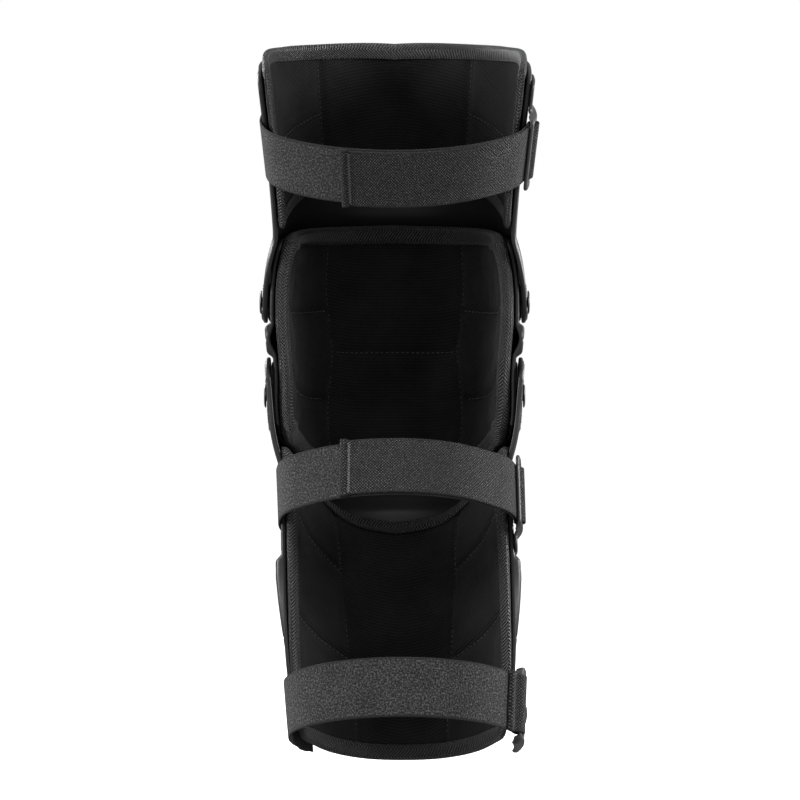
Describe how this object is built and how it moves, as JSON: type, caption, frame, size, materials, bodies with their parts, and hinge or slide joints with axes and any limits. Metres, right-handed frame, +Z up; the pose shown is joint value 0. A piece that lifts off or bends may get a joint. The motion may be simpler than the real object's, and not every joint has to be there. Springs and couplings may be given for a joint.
{
  "type": "motocross knee guard",
  "caption": "Knee guard with hinged thigh plate, knee cup and shin plate over bound foam pads, held by elastic straps that hook on with slotted clips.",
  "frame": {"origin": "middle of the wearer's knee, halfway between the upper and lower hinge axes", "axes": "+Z up along the leg, -Y towards the front of the knee, +X towards the wearer's left, which is the inner side of the right leg"},
  "size_m": [0.1876, 0.2303, 0.4845],
  "materials": {
    "shell_plastic": "satin moulded plastic",
    "clip_plastic": "satin moulded plastic, slightly lighter",
    "pad_fabric": "knitted lining over foam, with a bound edge",
    "strap_elastic": "woven elastic with a brushed face",
    "rivet_steel": "black coated steel, satin"
  },
  "bodies": {
    "knee": {"knee_cup": "shell_plastic", "knee_pad": "pad_fabric", "upper_hinge_rivet_inner": "rivet_steel", "upper_hinge_rivet_outer": "rivet_steel", "lower_hinge_rivet_inner": "rivet_steel", "lower_hinge_rivet_outer": "rivet_steel"},
    "thigh": {"thigh_plate": "shell_plastic", "thigh_pad": "pad_fabric", "thigh_strap": "strap_elastic", "thigh_clip": "clip_plastic", "thigh_clip_post": "rivet_steel", "thigh_strap_anchor": "clip_plastic"},
    "shin": {"shin_plate": "shell_plastic", "shin_pad": "pad_fabric", "upper_calf_strap": "strap_elastic", "upper_calf_clip": "clip_plastic", "upper_calf_clip_post": "rivet_steel", "upper_calf_strap_anchor": "clip_plastic", "lower_calf_strap": "strap_elastic", "lower_calf_clip": "clip_plastic", "lower_calf_clip_post": "rivet_steel", "lower_calf_strap_anchor": "clip_plastic"}
  },
  "joints": [
    {"name": "thigh_hinge", "type": "hinge", "parent": "knee", "child": "thigh", "pos_m": [0, 0, 0.0315], "axis": [-1, 0, 0], "range_deg": [-20, 22]},
    {"name": "shin_hinge", "type": "hinge", "parent": "knee", "child": "shin", "pos_m": [0, 0, -0.0315], "axis": [1, 0, 0], "range_deg": [-18, 30]}
  ]
}
